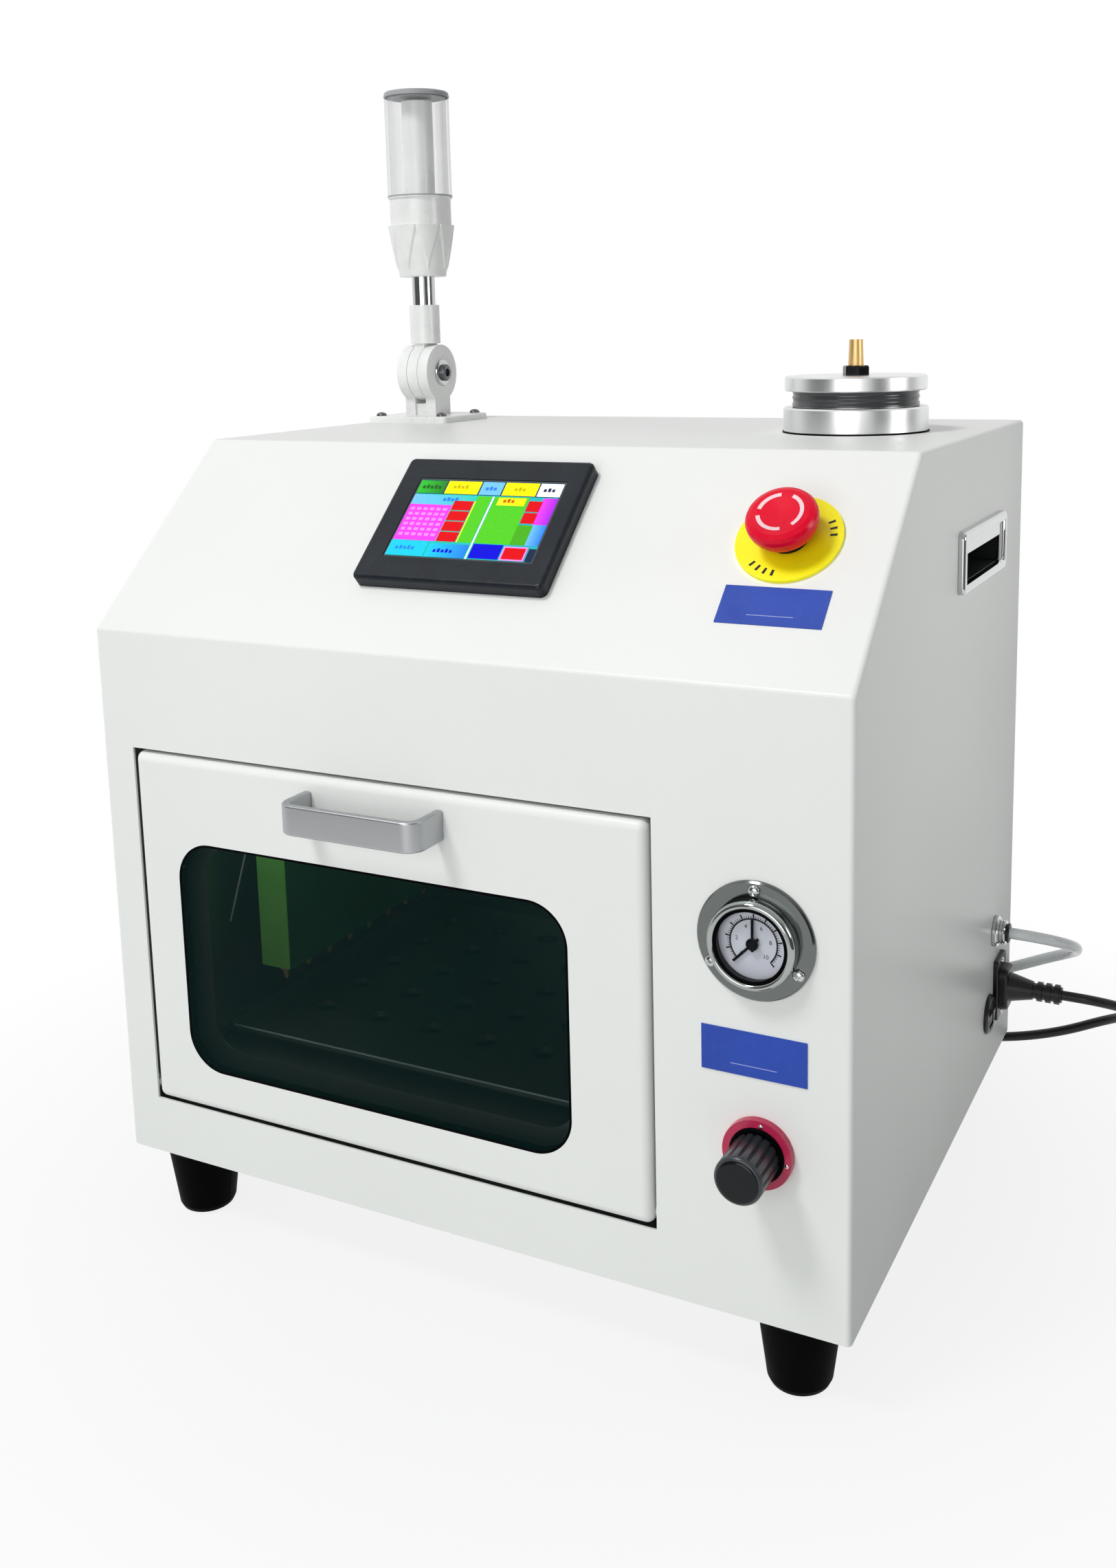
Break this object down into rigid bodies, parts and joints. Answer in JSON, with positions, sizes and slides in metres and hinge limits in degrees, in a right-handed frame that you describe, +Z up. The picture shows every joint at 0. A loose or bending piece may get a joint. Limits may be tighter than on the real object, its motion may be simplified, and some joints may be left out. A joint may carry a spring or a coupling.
{
  "type": "nozzle cleaning machine",
  "caption": "Bench-top spray cleaner for pick-and-place nozzles: white sheet-metal cabinet, drop-down windowed door, touch panel, stop button, air gauge and regulator.",
  "frame": {"origin": "on the floor, at the middle of the footprint of everything but the free air tube and power cord", "axes": "+Z up, -Y out of the front door, +X to the right seen from the front"},
  "size_m": [0.593, 0.55, 0.7619],
  "materials": {
    "white_paint": "white powder coat",
    "stainless": "brushed stainless sheet",
    "zinc": "zinc-plated",
    "chrome": "polished chrome plate",
    "satin_aluminium": "satin anodised",
    "black_rubber": "black moulded rubber",
    "black_plastic": "black moulded plastic",
    "slate_plastic": "dark slate housing",
    "screen": "lit display behind glass",
    "tinted_pane": "dark teal tinted acrylic",
    "stop_red": "signal red moulding",
    "stop_yellow": "signal yellow moulding",
    "label_blue": "blue plate",
    "dial_white": "printed dial",
    "clear_glass": "clear glass",
    "red_ring": "red anodised ring",
    "brass": "bare brass",
    "clear_lens": "clear polycarbonate",
    "white_plastic": "white moulding",
    "grey_plastic": "grey moulding",
    "tube_pu": "translucent white tube",
    "cord_black": "black cord jacket",
    "tank_plastic": "natural plastic tank",
    "carriage_metal": "anodised carriage"
  },
  "bodies": {
    "cabinet": {"cabinet_shell": "white_paint", "base_plate": "zinc", "rear_panel": "white_paint", "cabinet_screws": "zinc", "rubber_feet": "black_rubber", "chamber_liner": "stainless", "door_seal": "black_rubber", "hinge_pins": "stainless", "touch_panel_housing": "slate_plastic", "touch_screen": "screen", "estop_legend_ring": "stop_yellow", "estop_body": "black_plastic", "label_plates": "label_blue", "gauge_case": "chrome", "gauge_dial": "dial_white", "gauge_lens": "clear_glass", "regulator_body": "satin_aluminium", "regulator_panel_ring": "red_ring", "pull_handle_frames": "chrome", "pull_handle_cups": "black_plastic", "air_fitting": "chrome", "power_inlet": "black_plastic", "power_connector": "cord_black", "power_switch_bezel": "black_plastic", "tower_foot": "white_plastic", "tower_pivot_bolt": "black_plastic", "filler_collar": "satin_aluminium", "water_tank": "tank_plastic", "guide_rails": "chrome", "drive_motor": "slate_plastic", "power_supply": "satin_aluminium", "air_tube": "tube_pu", "air_tube_coil": "tube_pu", "power_cord": "cord_black", "power_cord_coil": "cord_black", "mains_plug": "cord_black"},
    "door": {"door_pan": "white_paint", "door_inner_skin": "stainless", "door_window": "tinted_pane", "window_gasket": "black_rubber", "door_handle": "satin_aluminium", "door_hinge_blocks": "satin_aluminium"},
    "tower": {"tower_arm": "white_plastic", "tower_pole": "chrome", "tower_lamp_base": "white_plastic", "tower_lens": "clear_lens", "tower_light_core": "white_plastic", "tower_cap": "grey_plastic"},
    "estop_plunger": {"estop_stem": "black_plastic"},
    "estop_button": {"estop_head": "stop_red"},
    "knob": {"regulator_knob": "black_plastic"},
    "pointer": {"gauge_pointer": "black_plastic"},
    "set_hand": {"gauge_set_hand": "black_plastic"},
    "cap": {"filler_cap": "satin_aluminium", "filler_breather": "brass"},
    "carriage": {"spray_carriage": "carriage_metal", "spray_nozzles": "brass"},
    "screw": {"lead_screw": "stainless"},
    "tray": {"nozzle_tray": "stainless"},
    "rocker": {"power_rocker": "black_plastic"}
  },
  "joints": [
    {"name": "door_hinge", "type": "hinge", "parent": "cabinet", "child": "door", "pos_m": [-0.0464, -0.1781, 0.0955], "axis": [1, 0, 0], "range_deg": [0, 90]},
    {"name": "tower_fold", "type": "hinge", "parent": "cabinet", "child": "tower", "pos_m": [-0.21175, 0.1503, 0.5465], "axis": [1, 0, 0], "range_deg": [-90, 90]},
    {"name": "estop_push", "type": "slide", "parent": "cabinet", "child": "estop_plunger", "axis": [0, 0.6727, -0.7399], "range_m": [0, 0.004], "stiffness_N_per_m": 2500, "springref_m": -0.002},
    {"name": "estop_release_twist", "type": "hinge", "parent": "estop_plunger", "child": "estop_button", "pos_m": [0.18525, -0.11293, 0.46375], "axis": [0, 0.6727, -0.7399], "range_deg": [0, 45], "stiffness_Nm_per_rad": 0.05},
    {"name": "regulator_turn", "type": "hinge", "parent": "cabinet", "child": "knob", "pos_m": [0.19375, -0.1847, 0.1475], "axis": [0, 1, 0], "continuous": true},
    {"name": "gauge_reading", "type": "hinge", "parent": "cabinet", "child": "pointer", "pos_m": [0.19225, -0.1847, 0.265], "axis": [0, 1, 0], "range_deg": [0, 270]},
    {"name": "gauge_set_point", "type": "hinge", "parent": "cabinet", "child": "set_hand", "pos_m": [0.19225, -0.1847, 0.265], "axis": [0, 1, 0], "range_deg": [-135, 135]},
    {"name": "filler_cap_lift", "type": "slide", "parent": "cabinet", "child": "cap", "axis": [0, 0, 1], "range_m": [0, 0.05]},
    {"name": "carriage_travel", "type": "slide", "parent": "cabinet", "child": "carriage", "axis": [1, 0, 0], "range_m": [0, 0.24]},
    {"name": "lead_screw_turn", "type": "hinge", "parent": "cabinet", "child": "screw", "pos_m": [-0.04675, -0.0047, 0.2825], "axis": [1, 0, 0], "range_deg": [0, 2180]},
    {"name": "tray_lift", "type": "slide", "parent": "cabinet", "child": "tray", "axis": [0, 0, 1], "range_m": [0, 0.02]},
    {"name": "power_rocker_tip", "type": "hinge", "parent": "cabinet", "child": "rocker", "pos_m": [0.24225, 0.1418, 0.0925], "axis": [0, 1, 0], "range_deg": [-24, 0]}
  ],
  "couplings": [
    {"joint": "lead_screw_turn", "follows": "carriage_travel", "rad_per_m": 157.08}
  ]
}
